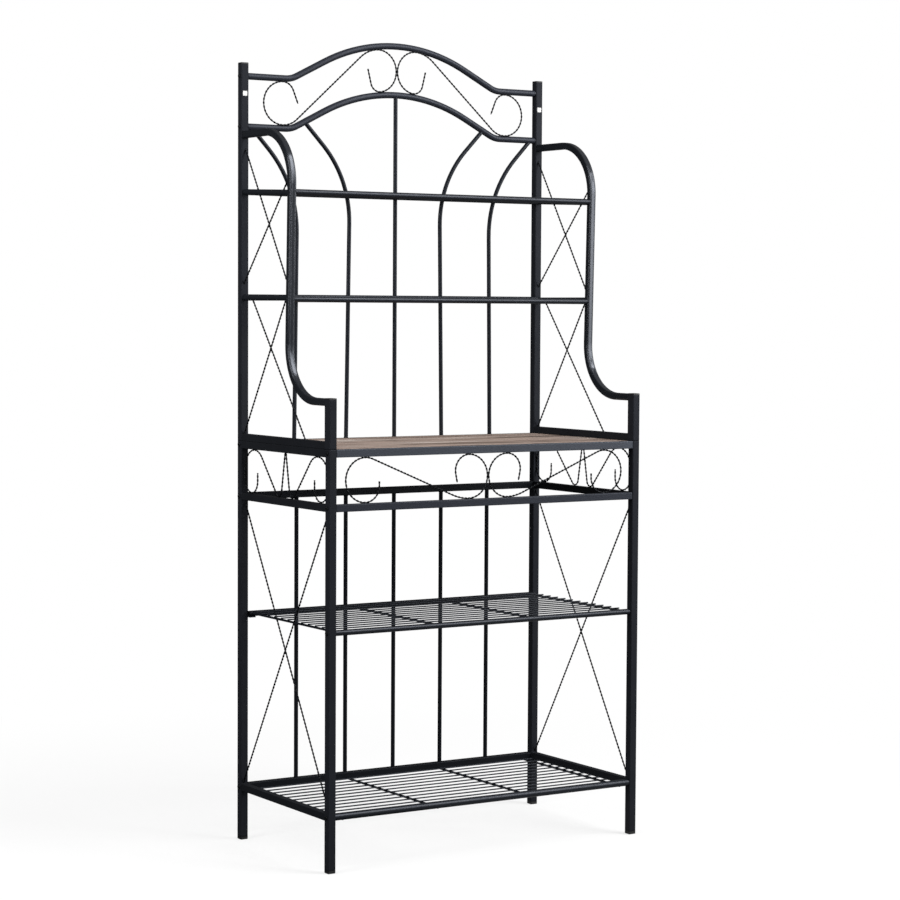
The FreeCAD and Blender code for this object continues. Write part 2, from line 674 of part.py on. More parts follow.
def front_scroll():
    """An S lying on its side: outer ring, crossing straight, inner ring."""
    ring_r = (SCROLL_HIGH - SCROLL_LOW) / 2
    middle = (SCROLL_HIGH + SCROLL_LOW) / 2
    ring = (-SCROLL_OUTER_X, middle)
    loop = (-ring_r - WIRE_R - TOUCH, middle)
    tail = (ring[0], SCROLL_LOW + SCROLL_TAIL)
    ease = (loop[0], SCROLL_LOW + SCROLL_EASE)
    curl = (loop[0], SCROLL_HIGH - SCROLL_CURL)
    fall = cross_heading(ring, ring_r, ease, SCROLL_EASE, -1)
    curl_end = on_circle(curl, SCROLL_CURL, 180 + SCROLL_CURL_LEAN)
    tail_start = on_circle(tail, SCROLL_TAIL, 0)
    steps = [("to", tail_start),
             ("turn", tail, -90),
             ("turn", ring, fall - 180),
             ("to", on_circle(ease, SCROLL_EASE, fall - 90)),
             ("turn", ease, -fall),
             ("turn", loop, 180),
             ("turn", curl, 90 + SCROLL_CURL_LEAN),
             ("to", on_circle(curl_end, SCROLL_CURL_END, SCROLL_CURL_LEAN - 90))]
    start = (tail_start[0], tail_start[1] + SCROLL_TAIL_END)
    return swept(round_face(WIRE), (Vector(0, -LEG_Y, 0), ALONG_X), start, steps)


left_front_scroll = front_scroll()
keep("front_scrolls", left_front_scroll, mirrored(left_front_scroll))

# ---- worktop board on welded tabs ----

board_x = 2 * (IN_X - BOARD_CLEARANCE)
board_y = 2 * (IN_Y - BOARD_CLEARANCE)
board_top = SEAM_Z + BOARD_PROUD
board = Part.makeBox(board_x, board_y, BOARD, Vector(-board_x / 2, -board_y / 2,
                                                     board_top - BOARD))
board = board.makeFillet(BOARD_EDGE, [e for e in board.Edges
                                      if abs(e.BoundBox.ZMin - board_top) < 0.01])
keep("worktop_board", board)

tab_z = board_top - BOARD - TAB
rail_in_x = LEG_X - TOP_RAIL / 2
rail_in_y = LEG_Y - TOP_RAIL / 2
tabs = []
for x in (-TAB_X, TAB_X):
    for side in (-1, 1):
        low_y = rail_in_y - TAB_REACH if side > 0 else -rail_in_y
        tabs.append(Part.makeBox(TAB_LENGTH, TAB_REACH, TAB,
                                 Vector(x - TAB_LENGTH / 2, low_y, tab_z)))
for side in (-1, 1):
    low_x = rail_in_x - TAB_REACH if side > 0 else -rail_in_x
    tabs.append(Part.makeBox(TAB_REACH, TAB_LENGTH, TAB, Vector(low_x, -TAB_LENGTH / 2, tab_z)))
for side in (-1, 1):
    low_x = IN_X - MID_TAB_REACH if side > 0 else -IN_X
    tabs.append(Part.makeBox(MID_TAB_REACH, MID_TAB_WIDTH, TAB,
                             Vector(low_x, BACK_BAR_Y - MID_TAB_WIDTH / 2 + MID_TAB_BACK,
                                    MID_SHELF_Z - SHELF_BAR / 2 - TAB)))
keep("support_tabs", *tabs)


# ---- middle and bottom shelves ----

def wire_deck(z, reach):
    """As many wires as fit at their pitch between the front and rear tubes."""
    room = 2 * (BACK_BAR_Y - SHELF_BAR / 2 - SHELF_WIRE / 2)
    spaces = math.floor(room / WIRE_PITCH)
    first = -WIRE_PITCH * spaces / 2
    return [rod(SHELF_WIRE, Vector(-reach, first + i * WIRE_PITCH, z),
                Vector(reach, first + i * WIRE_PITCH, z)) for i in range(spaces + 1)]


def deck_rods(z, outer_x, *against):
    rods = []
    for x in (-outer_x, -SUPPORT_X, SUPPORT_X, outer_x):
        rods.append(trimmed(rod(ROD, Vector(x, -LEG_Y, z), Vector(x, LEG_Y, z)), *against))
    return rods


ON_ROD = (SHELF_WIRE + ROD) / 2 + TOUCH
mid_front = rod(SHELF_BAR, Vector(-IN_X, -LEG_Y, MID_SHELF_Z), Vector(IN_X, -LEG_Y, MID_SHELF_Z))
mid_rear = rod(SHELF_BAR, Vector(-IN_X, BACK_BAR_Y, MID_SHELF_Z),
               Vector(IN_X, BACK_BAR_Y, MID_SHELF_Z))
mid_behind = Part.makeBox(WIDTH, DEPTH, 2 * SHELF_BAR,
                          Vector(-WIDTH / 2, BACK_BAR_Y, MID_SHELF_Z - SHELF_BAR))
keep("mid_shelf_front_bar", round_tube(SHELF_BAR, Vector(-IN_X, -LEG_Y, MID_SHELF_Z),
                                       Vector(IN_X, -LEG_Y, MID_SHELF_Z)))
keep("mid_shelf_rear_bar", round_tube(SHELF_BAR, Vector(-IN_X, BACK_BAR_Y, MID_SHELF_Z),
                                      Vector(IN_X, BACK_BAR_Y, MID_SHELF_Z)))
mid_rod_z = MID_SHELF_Z + MID_ROD_RISE
keep("mid_shelf_rods", *deck_rods(mid_rod_z, IN_X - MID_ROD_INSET, mid_front, mid_rear, mid_behind))
keep("mid_shelf_wires", *wire_deck(mid_rod_z + ON_ROD, IN_X - MID_WIRE_INSET))

bottom_front = rod(BOTTOM_BAR, Vector(-IN_X, -LEG_Y, BOTTOM_Z), Vector(IN_X, -LEG_Y, BOTTOM_Z))
bottom_rear = bar(square_face(RAIL, RAIL, RAIL_CORNER), Vector(-IN_X, LEG_Y, BOTTOM_Z),
                  Vector(IN_X, LEG_Y, BOTTOM_Z), ALONG_Y)
keep("bottom_shelf_front_bar", round_tube(BOTTOM_BAR, Vector(-IN_X, -LEG_Y, BOTTOM_Z),
                                          Vector(IN_X, -LEG_Y, BOTTOM_Z)))
bottom_rod_z = BOTTOM_Z - BOTTOM_ROD_DROP
keep("bottom_shelf_rods", *deck_rods(bottom_rod_z, IN_X - BOTTOM_ROD_INSET, bottom_front, bottom_rear))
keep("bottom_shelf_wires", *wire_deck(bottom_rod_z + ON_ROD, IN_X - BOTTOM_WIRE_INSET))

# ---- caps, feet, bolts and the inserts inside the tubes ----


def plug(width, depth, y, low, high):
    """The ribbed stem of a cap, a close fit inside its tube."""
    w = width - 2 * (TUBE_WALL + PLUG_CLEARANCE)
    d = depth - 2 * (TUBE_WALL + PLUG_CLEARANCE)
    return bar(square_face(w, d, PLUG_CORNER), Vector(SIDE_PLANE, y, low), Vector(SIDE_PLANE, y, high),
               ALONG_X)


def cap(width, depth, y, low, high, stem_low, stem_high, round_z):
    body = bar(square_face(width, depth, LEG_CORNER), Vector(SIDE_PLANE, y, low),
               Vector(SIDE_PLANE, y, high), ALONG_X)
    rim = [e for e in body.Edges if abs(e.BoundBox.ZMin - round_z) < 0.01
           and abs(e.BoundBox.ZMax - round_z) < 0.01]
    body = body.makeFillet(CAP_ROUND, rim)
    return biggest(body.fuse(plug(width, depth, y, stem_low, stem_high)).removeSplitter())


feet = [cap(LEG, LEG, y, 0, FOOT_HEIGHT, FOOT_HEIGHT, FOOT_HEIGHT + PLUG_LENGTH, 0)
        for y in (-LEG_Y, LEG_Y)]
keep("foot_caps", *feet, *[mirrored(f) for f in feet])

tops = [cap(LEG, LEG, LEG_Y, REAR_TOP - CAP_PLATE, REAR_TOP,
            REAR_TOP - CAP_PLATE - PLUG_LENGTH, REAR_TOP - CAP_PLATE, REAR_TOP),
        cap(LEG, STUB_DEPTH, stub_y, STUB_TOP - CAP_PLATE, STUB_TOP,
            STUB_TOP - CAP_PLATE - PLUG_LENGTH, STUB_TOP - CAP_PLATE, STUB_TOP)]
keep("tube_caps", *tops, *[mirrored(t) for t in tops])

bolts = [bolt(-LEG_Y, z) for z in FRONT_BOLTS]
bolts += [bolt(LEG_Y, z) for z in REAR_BOLTS + POST_BOLTS]
keep("frame_bolts", *bolts, *[mirrored(b) for b in bolts])

top_nut = square_face(TOP_RAIL - 2 * TUBE_WALL, TOP_RAIL - 2 * TUBE_WALL, BORE_CORNER)
square_nut = square_face(RAIL - 2 * TUBE_WALL, RAIL - 2 * TUBE_WALL, BORE_CORNER)
nut_sections = [(-LEG_Y, WORKTOP_RAIL_Z, top_nut), (-LEG_Y, APRON_Z, square_nut),
                (-LEG_Y, MID_SHELF_Z, round_face(SHELF_BAR - 2 * TUBE_WALL)),
                (-LEG_Y, BOTTOM_Z, round_face(BOTTOM_BAR - 2 * TUBE_WALL))]
nut_sections += [(LEG_Y, WORKTOP_RAIL_Z, top_nut), (LEG_Y, APRON_Z, square_nut),
                 (LEG_Y, BOTTOM_Z, square_nut)]
nut_sections += [(LEG_Y, z, round_face(ARCH - 2 * TUBE_WALL)) for z in POST_BOLTS]
inserts = [end_nut(y, z, section) for y, z, section in nut_sections]
for y in (-LEG_Y, LEG_Y):
    spigot = plug(LEG, LEG, y, SEAM_Z - SPIGOT / 2, SEAM_Z + SPIGOT / 2)
    inserts.append(biggest(spigot.cut(bolt_hole(y, WORKTOP_RAIL_Z))))
keep("tube_inserts", *inserts, *[mirrored(i) for i in inserts])

sticker = Part.makeBox(STICKER, STICKER_THICKNESS, STICKER,
                       Vector(SIDE_PLANE - STICKER / 2, IN_Y - STICKER_THICKNESS,
                              REAR_TOP - STICKER_DROP))
keep("assembly_stickers", sticker, mirrored(sticker))

# ---- write one file for each piece or set of like pieces ----

os.makedirs("parts", exist_ok=True)
for name in sorted(pieces):
    shape = pieces[name]
    if not shape.isValid():
        print("not valid:", name)
    shape.exportStep("parts/" + name + ".step")
print(len(pieces), "nodes", sum(len(s.Solids) for s in pieces.values()), "solids")
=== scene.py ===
import math
import bmesh
import bpy
from mathutils import Matrix, Vector


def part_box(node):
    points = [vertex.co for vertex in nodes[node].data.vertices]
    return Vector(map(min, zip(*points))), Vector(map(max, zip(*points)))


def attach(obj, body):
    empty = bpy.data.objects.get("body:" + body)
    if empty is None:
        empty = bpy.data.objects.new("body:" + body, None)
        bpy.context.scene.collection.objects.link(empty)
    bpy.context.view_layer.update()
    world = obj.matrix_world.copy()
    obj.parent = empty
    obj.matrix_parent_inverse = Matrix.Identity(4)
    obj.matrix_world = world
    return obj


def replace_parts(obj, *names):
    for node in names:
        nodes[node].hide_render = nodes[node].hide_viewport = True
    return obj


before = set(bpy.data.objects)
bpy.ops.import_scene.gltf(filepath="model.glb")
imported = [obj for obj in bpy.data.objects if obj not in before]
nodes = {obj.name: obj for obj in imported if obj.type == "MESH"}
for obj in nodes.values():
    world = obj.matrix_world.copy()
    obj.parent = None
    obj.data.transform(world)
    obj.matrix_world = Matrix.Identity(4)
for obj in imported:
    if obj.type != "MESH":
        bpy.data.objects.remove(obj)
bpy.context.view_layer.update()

MM = 0.001

# ---- Lower side frames -------------------------------------------------------
# Four square steel legs and the rails between them, roll-formed tube with a
# welded seam inside.  They are welded into two ladder frames and powder coated
# a charcoal that leans to blue, with a faintly pebbled skin, satin to matte.

# Lengths are in millimetres wherever nothing else is said.
SIDE_X = 372.0              # middle plane of a side frame
LEG_INNER_Y = 181.0         # inner faces of the legs
BOTTOM_Z = 112.5            # middles of the three side rails
APRON_Z = 732.7
WORKTOP_RAIL_Z = 842.0
RAIL = 15.0                 # square tube sizes
TOP_RAIL = 16.0

COAT_GLOSS_TINT = "#dee4f1"
COAT_IOR = 1.5
PEBBLE_HEIGHT = 0.02
PEBBLE_STRENGTH = 0.05
BEVEL_SAMPLES = 12
SMOOTH_UP_TO_DEGREES = 40.0


def linear(hex_colour):
    """An sRGB hex colour as a linear RGBA tuple."""
    parts = [int(hex_colour[i:i + 2], 16) / 255 for i in (1, 3, 5)]
    return tuple(c / 12.92 if c <= 0.04045 else ((c + 0.055) / 1.055) ** 2.4
                 for c in parts) + (1.0,)


def add_node(tree, kind, inputs=None, **settings):
    """One shader node; inputs maps a socket to a value or to another output."""
    node = tree.nodes.new(kind)
    for key, value in settings.items():
        setattr(node, key, value)
    for key, value in (inputs or {}).items():
        if isinstance(value, bpy.types.NodeSocket):
            tree.links.new(value, node.inputs[key])
        else:
            node.inputs[key].default_value = value
    return node


def new_finish(name):
    """An empty node material and the place it is read from, in metres."""
    material = bpy.data.materials.new(name)
    material.use_nodes = True
    tree = material.node_tree
    tree.nodes.clear()
    place = add_node(tree, "ShaderNodeTexCoord").outputs["Object"]
    return material, tree, place


def per_metre(size_mm):
    """A texture's scale from the real size of its pattern."""
    return 1 / (size_mm * MM)


def finish_surface(tree, sockets):
    """Ends a material in one Principled surface with the given sockets."""
    surface = add_node(tree, "ShaderNodeBsdfPrincipled", sockets)
    add_node(tree, "ShaderNodeOutputMaterial", {"Surface": surface.outputs["BSDF"]})


def powder_coat(name, thin, full, roughness, pebble_mm=5.0, cloud_mm=60.0, round_mm=0.0,
                gloss=0.22):
    """Baked polyester powder.  It flows into shallow pebbles a few millimetres
    across, lies a touch thicker in some places, and shines unevenly.  Matting
    agent in it scatters more than half of the gloss of clear polyester.  It
    also draws back from sharp corners, so square tube looks a little rounder."""
    material, tree, place = new_finish(name)
    cloud = add_node(tree, "ShaderNodeTexNoise",
                     {"Vector": place, "Scale": per_metre(cloud_mm), "Detail": 3.0})
    pebble = add_node(tree, "ShaderNodeTexNoise",
                      {"Vector": place, "Scale": per_metre(pebble_mm), "Detail": 1.0})
    tone = add_node(tree, "ShaderNodeMix",
                    {"Factor": cloud.outputs["Fac"], "A": linear(thin), "B": linear(full)},
                    data_type="RGBA")
    shine = add_node(tree, "ShaderNodeMapRange",
                     {"Value": cloud.outputs["Fac"], "From Min": 0.3, "From Max": 0.7,
                      "To Min": roughness - 0.03, "To Max": roughness + 0.04})
    skin = add_node(tree, "ShaderNodeBump",
                    {"Height": pebble.outputs["Fac"], "Strength": PEBBLE_STRENGTH,
                     "Distance": PEBBLE_HEIGHT * MM})
    if round_mm:
        soft = add_node(tree, "ShaderNodeBevel", {"Radius": round_mm * MM},
                        samples=BEVEL_SAMPLES)
        tree.links.new(soft.outputs["Normal"], skin.inputs["Normal"])
    finish_surface(tree, {"Base Color": tone.outputs["Result"],
                          "Roughness": shine.outputs["Result"],
                          "Normal": skin.outputs["Normal"], "IOR": COAT_IOR,
                          "Specular IOR Level": gloss,
                          "Specular Tint": linear(COAT_GLOSS_TINT)})
    return material


def dress(material, *names):
    """Gives a finish to nodes that keep their own shape."""
    for name in names:
        slots = nodes[name].data.materials
        slots.clear()
        slots.append(material)


def piece_from(name, shape, material):
    """A mesh object that rides with the rack; shape is (corners, faces)."""
    mesh = bpy.data.meshes.new(name)
    mesh.from_pydata([tuple(v) for v in shape[0]], [], shape[1])
    mesh.materials.append(material)
    outward = bmesh.new()
    outward.from_mesh(mesh)
    bmesh.ops.recalc_face_normals(outward, faces=outward.faces)
    outward.to_mesh(mesh)
    outward.free()
    mesh.polygons.foreach_set("use_smooth", [True] * len(mesh.polygons))
    mesh.set_sharp_from_angle(angle=math.radians(SMOOTH_UP_TO_DEGREES))
    piece = bpy.data.objects.new(name, mesh)
    bpy.context.scene.collection.objects.link(piece)
    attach(piece, "root")
    return piece


tube_coat = powder_coat("satin_charcoal_powder_coat", "#2c2f37", "#23252c", 0.34,
                        round_mm=2.0)
leg_coat = powder_coat("matte_charcoal_powder_coat_on_legs", "#25272c", "#1c1d22", 0.42,
                       round_mm=4.0, gloss=0.08)
# The side rails take the frame's coat painted darker and more neutral: painted shade on
# their sides, which face away from the lamps.
shaded_side_coat = powder_coat("painted_shade_coat_on_side_rails", "#202226", "#18191d", 0.40,
                        round_mm=1.5, gloss=0.12)
for side in ("left_", "right_"):
    dress(leg_coat, side + "front_leg", side + "rear_leg")
    dress(shaded_side_coat, side + "bottom_side_rail", side + "apron_side_rail",
          side + "worktop_side_rail")

# ---- Weld beads of the lower side frames -------------------------------------
# Fillets of weld metal run round each rail where it meets a leg.  Each is a row
# of small frozen ripples a millimetre or so high, and lies under the coat.

BEAD_R = 1.15
SMALL_BEAD_R = 1.0          # where a round tube meets a rail
BEAD_SIDES = 6
BEAD_STEP = 0.9             # from ring to ring
BEAD_INSET = 0.6            # taken off the size of a square tube
RIPPLE_PITCH = 3.2
RIPPLE_SHARE = 0.16         # of the bead's radius
TUBE_CORNER = 1.4
CORNER_REACH = 0.72         # of the corner's radius, at its middle
ALONG = {"x": Vector((1, 0, 0)), "y": Vector((0, 1, 0)), "z": Vector((0, 0, 1))}


def add_bead(shape, path, face, radius=BEAD_R):
    """A rippled bead along a closed flat path, in millimetres; face is square
    to the plane that the path lies in."""
    verts, faces = shape
    first = len(verts)
    count = len(path)
    run = 0.0
    for i, point in enumerate(path):
        ahead = (path[(i + 1) % count] - path[i - 1]).normalized()
        side = face.cross(ahead)
        run += (point - path[i - 1]).length
        thick = radius * (1 + RIPPLE_SHARE * math.sin(2 * math.pi * run / RIPPLE_PITCH))
        for j in range(BEAD_SIDES):
            a = 2 * math.pi * j / BEAD_SIDES
            verts.append((point + (face * math.cos(a) + side * math.sin(a)) * thick) * MM)
    for i in range(count):
        for j in range(BEAD_SIDES):
            k = (j + 1) % BEAD_SIDES
            a = first + i * BEAD_SIDES
            b = first + (i + 1) % count * BEAD_SIDES
            faces.append((a + j, a + k, b + k, b + j))


def ring_path(centre, u, v, radius):
    """The outline of a round tube's end."""
    count = round(2 * math.pi * radius / BEAD_STEP)
    turns = [2 * math.pi * i / count for i in range(count)]
    return [centre + (u * math.cos(a) + v * math.sin(a)) * radius for a in turns]


def square_path(centre, u, v, size):
    """The outline of a square tube's end, its corners rounded; the bead's middle
    lies a little inside it."""
    size -= BEAD_INSET
    flat = size / 2 - TUBE_CORNER
    count = round(2 * flat / BEAD_STEP)
    path = []
    for turn in range(4):
        c, s = ((1, 0), (0, 1), (-1, 0), (0, -1))[turn]
        out, along = u * c + v * s, v * c - u * s
        path += [centre + out * size / 2 + along * (flat * (2 * i / count - 1))
                 for i in range(count + 1)]
        path.append(centre + (out + along) * (flat + TUBE_CORNER * CORNER_REACH))
    return path


def frame_beads(x, ends):
    """Beads in a side frame, round the (y, z, size) ends of its square tubes."""
    shape = ([], [])
    for y, z, size in ends:
        add_bead(shape, square_path(Vector((x, y, z)), ALONG["x"], ALONG["z"], size),
                 ALONG["y"])
    return shape


for side, x in (("left_", -SIDE_X), ("right_", SIDE_X)):
    rails = ((BOTTOM_Z, RAIL), (APRON_Z, RAIL), (WORKTOP_RAIL_Z, TOP_RAIL))
    shape = frame_beads(x, [(y, z, size) for z, size in rails
                            for y in (-LEG_INNER_Y, LEG_INNER_Y)])
    # The beads take the side rails' coat with its painted shade.
    piece_from(side + "lower_frame_welds", shape, shaded_side_coat)

# ---- Crossing wires of the lower sides ---------------------------------------
# Two round steel wires wound about each other like a rope, so that each thin
# line shows a row of dashes.  Two lengths cross in each side and are tacked to
# the legs and to each other.

STRAND_R = 1.08             # one strand, and its distance from the wire's middle
HELIX_R = 0.96
TWIST_PITCH = 16.5
RINGS_PER_TURN = 14
STRAND_SIDES = 6
WIRE_OVERRUN = 0.4          # past the plain wire's ends

END_TACK = (5.0, 2.0)       # length, and height above its middle line
CROSS_TACK = (5.5, 2.1)
TACK_INSET = 0.6            # from the plain wire's ends
TACK_RINGS = 5
TACK_SIDES = 8
TACK_LUMPS = 0.10           # of its height

SAME_POINT = 0.002


def even_points(points, spacing):
    """The same line with points an equal distance apart."""
    lengths = [0.0]
    for a, b in zip(points, points[1:]):
        lengths.append(lengths[-1] + (b - a).length)
    count = max(2, round(lengths[-1] / spacing))
    line = []
    k = 0
    for i in range(count + 1):
        along = lengths[-1] * i / count
        while k < len(points) - 2 and lengths[k + 1] < along:
            k += 1
        share = (along - lengths[k]) / max(lengths[k + 1] - lengths[k], 1e-9)
        line.append(points[k].lerp(points[k + 1], min(share, 1.0)))
    return line


def add_twisted_wire(shape, points, normal):
    """Winds two strands about a line that lies in one plane; points are in
    millimetres and normal is square to the plane."""
    verts, faces = shape
    line = even_points(points, TWIST_PITCH / RINGS_PER_TURN)
    step = 2 * math.pi / RINGS_PER_TURN
    lean = 2 * math.pi * HELIX_R / TWIST_PITCH
    for start in (0, math.pi):
        first = len(verts)
        for i, point in enumerate(line):
            ahead = (line[min(i + 1, len(line) - 1)] - line[max(i - 1, 0)]).normalized()
            across = normal.cross(ahead)
            c = math.cos(start + step * i)
            s = math.sin(start + step * i)
            out = normal * c + across * s
            flat = (across * c - normal * s - ahead * lean).normalized()
            for j in range(STRAND_SIDES):
                a = 2 * math.pi * j / STRAND_SIDES
                verts.append((point + out * (HELIX_R + STRAND_R * math.cos(a))
                              + flat * (STRAND_R * math.sin(a))) * MM)
        for i in range(len(line) - 1):
            a = first + i * STRAND_SIDES
            for j in range(STRAND_SIDES):
                k = (j + 1) % STRAND_SIDES
                faces.append((a + j, a + k, a + STRAND_SIDES + k, a + STRAND_SIDES + j))
        last = first + (len(line) - 1) * STRAND_SIDES
        faces.append(tuple(first + j for j in reversed(range(STRAND_SIDES))))
        faces.append(tuple(last + j for j in range(STRAND_SIDES)))


def add_tack(shape, centre, along, size):
    """A small oval blob of weld metal, lumpy as it froze; size is its length and
    its height above its own middle line."""
    verts, faces = shape
    length, height = size
    first = len(verts)
    u = along.normalized()
    v = u.orthogonal().normalized()
    w = u.cross(v)
    verts.append((centre - u * length / 2) * MM)
    for i in range(1, TACK_RINGS + 1):
        a = math.pi * i / (TACK_RINGS + 1)
        for j in range(TACK_SIDES):
            b = 2 * math.pi * j / TACK_SIDES
            swell = 1 + TACK_LUMPS * math.sin(3 * b + 2.1 * i)
            verts.append((centre - u * (math.cos(a) * length / 2)
                          + (v * math.cos(b) + w * math.sin(b))
                          * (math.sin(a) * height * swell)) * MM)
    verts.append((centre + u * length / 2) * MM)
    last = len(verts) - 1
    for j in range(TACK_SIDES):
        k = (j + 1) % TACK_SIDES
        faces.append((first, first + 1 + k, first + 1 + j))
        for i in range(TACK_RINGS - 1):
            a = first + 1 + i * TACK_SIDES
            faces.append((a + j, a + k, a + TACK_SIDES + k, a + TACK_SIDES + j))
        a = first + 1 + (TACK_RINGS - 1) * TACK_SIDES
        faces.append((a + j, a + k, last))


def straight_lengths(name):
    """The two ends, in millimetres, of each straight length in a node."""
    loose = bmesh.new()
    loose.from_mesh(nodes[name].data)
    bmesh.ops.remove_doubles(loose, verts=loose.verts, dist=SAME_POINT * MM)
    waiting = set(loose.verts)
    ends = []
    while waiting:
        seed = min(waiting, key=lambda v: v.index)
        group = []
        edge = [seed]
        waiting.discard(seed)
        while edge:
            vert = edge.pop()
            group.append(vert.co.copy())
            for link in vert.link_edges:
                other = link.other_vert(vert)
                if other in waiting:
                    waiting.discard(other)
                    edge.append(other)
        low = min(group, key=lambda p: p.z)
        high = max(group, key=lambda p: (p - low).length)
        halves = ([], [])
        for p in group:
            halves[(p - low).length > (p - high).length].append(p)
        ends.append([sum(half, Vector()) / len(half) / MM for half in halves])
    loose.free()
    return ends


wire_coat = powder_coat("gloss_black_coat_on_twisted_wire", "#0f1012", "#08090a", 0.25,
                        pebble_mm=0.8, cloud_mm=25.0)


def crossing_place(lengths):
    """Where two of the lengths pass each other, seen along X."""
    for a, b in [(p, q) for i, p in enumerate(lengths) for q in lengths[i + 1:]]:
        run_a = a[1] - a[0]
        run_b = b[1] - b[0]
        gap = b[0] - a[0]
        spread = run_a.y * run_b.z - run_a.z * run_b.y
        if abs(spread) < 1:
            continue
        share = (gap.y * run_b.z - gap.z * run_b.y) / spread
        other = (gap.y * run_a.z - gap.z * run_a.y) / spread
        if 0 < share < 1 and 0 < other < 1:
            place = a[0] + run_a * share
            place.x = (place.x + b[0].x) / 2
            return place
    return None


def twist_straight_wires(name):
    """Puts twisted wire in the place of a node's plain straight lengths, with
    a tack at each end and one where they cross."""
    shape = ([], [])
    lengths = straight_lengths(name)
    for low, high in lengths:
        run = (high - low).normalized()
        add_twisted_wire(shape, [low - run * WIRE_OVERRUN, high + run * WIRE_OVERRUN],
                         ALONG["x"])
        add_tack(shape, low + run * TACK_INSET, run, END_TACK)
        add_tack(shape, high - run * TACK_INSET, run, END_TACK)
    middle = crossing_place(lengths)
    if middle:
        add_tack(shape, middle, ALONG["z"], CROSS_TACK)
    piece = piece_from(name + "_twisted", shape, wire_coat)
    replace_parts(piece, name)


for side in ("left_", "right_"):
    twist_straight_wires(side + "lower_cross_wires")

# ---- Side ornament between the apron rail and the worktop rail ---------------
# Two mirrored lengths of the twisted wire in each side, bent cold on a jig: an
# open loop against the leg, a dip to the apron rail, a rise to the middle.
# Each is tacked wherever it touches the frame.

WIRE_R = 1.6                # the plain wire that the twist is wound along
TOUCH = 0.03                # air that a tack bridges
BEND_STEP = 0.9
SIDE_TACK = (7.0, 1.9)
SCROLL_LOW = APRON_Z + RAIL / 2 + WIRE_R + TOUCH
SCROLL_HIGH = WORKTOP_RAIL_Z - TOP_RAIL / 2 - WIRE_R - TOUCH


def on_circle(centre, radius, degrees):
    """A place on a circle, its angle taken from the first axis."""
    a = math.radians(degrees)
    return (centre[0] + radius * math.cos(a), centre[1] + radius * math.sin(a))


def crossing_angle(a, ra, b, rb, turn):
    """Heading of the straight that leaves a bend about a for an opposite bend
    about b."""
    across = math.atan2(b[1] - a[1], b[0] - a[0])
    return math.degrees(across + turn * math.asin((ra + rb) / math.dist(a, b)))


def bent_line(start, steps):
    """Points along straight runs and bends: ("to", point) or ("turn", centre,
    degrees), level and upright in millimetres."""
    line = [start]
    for step in steps:
        here = line[-1]
        if step[0] == "to":
            line.append(step[1])
            continue
        centre, degrees = step[1], step[2]
        radius = math.dist(here, centre)
        begin = math.degrees(math.atan2(here[1] - centre[1], here[0] - centre[0]))
        count = max(3, round(abs(math.radians(degrees)) * radius / BEND_STEP))
        line += [on_circle(centre, radius, begin + degrees * i / count)
                 for i in range(1, count + 1)]
    return line


def side_ornament():
    """Rear half of the ornament as level and upright places, and its tacks."""
    loop_r = 43.4
    heel_r = 31.0
    tail_r = 26.0
    dip_r = 12.6
    tail_straight = 17.0
    outer = LEG_INNER_Y - WIRE_R - TOUCH
    loop = (outer - loop_r, SCROLL_HIGH - loop_r)
    heel = (outer - heel_r, SCROLL_LOW + heel_r)
    tail = (heel[0], SCROLL_LOW + tail_r)
    dip = (29.5, SCROLL_LOW + dip_r)
    peak = (WIRE_R + TOUCH, SCROLL_HIGH + WIRE_R)
    fall = crossing_angle(loop, loop_r, dip, dip_r, 1) % 360
    lean = math.atan2(peak[1] - dip[1], peak[0] - dip[0])
    rise = math.degrees(lean - math.asin(dip_r / math.dist(dip, peak)))
    steps = [("to", (tail[0] - tail_r, tail[1])),
             ("turn", tail, 90),
             ("turn", heel, 90),
             ("to", (outer, loop[1])),
             ("turn", loop, fall - 90),
             ("to", on_circle(dip, dip_r, fall + 90)),
             ("turn", dip, rise - fall),
             ("to", peak)]
    tacks = [(heel[0], SCROLL_LOW - WIRE_R), (outer + WIRE_R, (loop[1] + heel[1]) / 2),
             (loop[0], SCROLL_HIGH + WIRE_R), (dip[0], SCROLL_LOW - WIRE_R),
             (0.0, SCROLL_HIGH + WIRE_R)]
    return bent_line((tail[0] - tail_r, tail[1] + tail_straight), steps), tacks


for side, x in (("left_", -SIDE_X), ("right_", SIDE_X)):
    shape = ([], [])
    line, tacks = side_ornament()
    for flip in (1, -1):
        add_twisted_wire(shape, [Vector((x, flip * y, z)) for y, z in line], ALONG["x"])
        for y, z in tacks:
            upright = abs(y) > LEG_INNER_Y - 1
            add_tack(shape, Vector((x, flip * y, z)), ALONG["z" if upright else "y"],
                     SIDE_TACK)
    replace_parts(piece_from(side + "side_scrolls_twisted", shape, wire_coat),
                side + "side_scrolls")

# ---- Front apron -------------------------------------------------------------
# Two square rails bolted between the front legs, and two lying S scrolls of the
# twisted wire tacked between them, back to back.

FRONT_Y = -189.5
FRONT_TACK = (8.0, 2.0)
PAIR_TACK = (6.0, 1.8)      # where a scroll touches its twin

# The worktop's front rail takes the frame's coat painted lighter and bluer: a painted
# highlight where its rounded top catches the light.
lit_rail_coat = powder_coat("painted_highlight_coat_on_worktop_rail", "#3d4149", "#32353c",
                        0.32, round_mm=2.0, gloss=0.3)
dress(lit_rail_coat, "worktop_front_rail")
dress(tube_coat, "apron_front_rail")


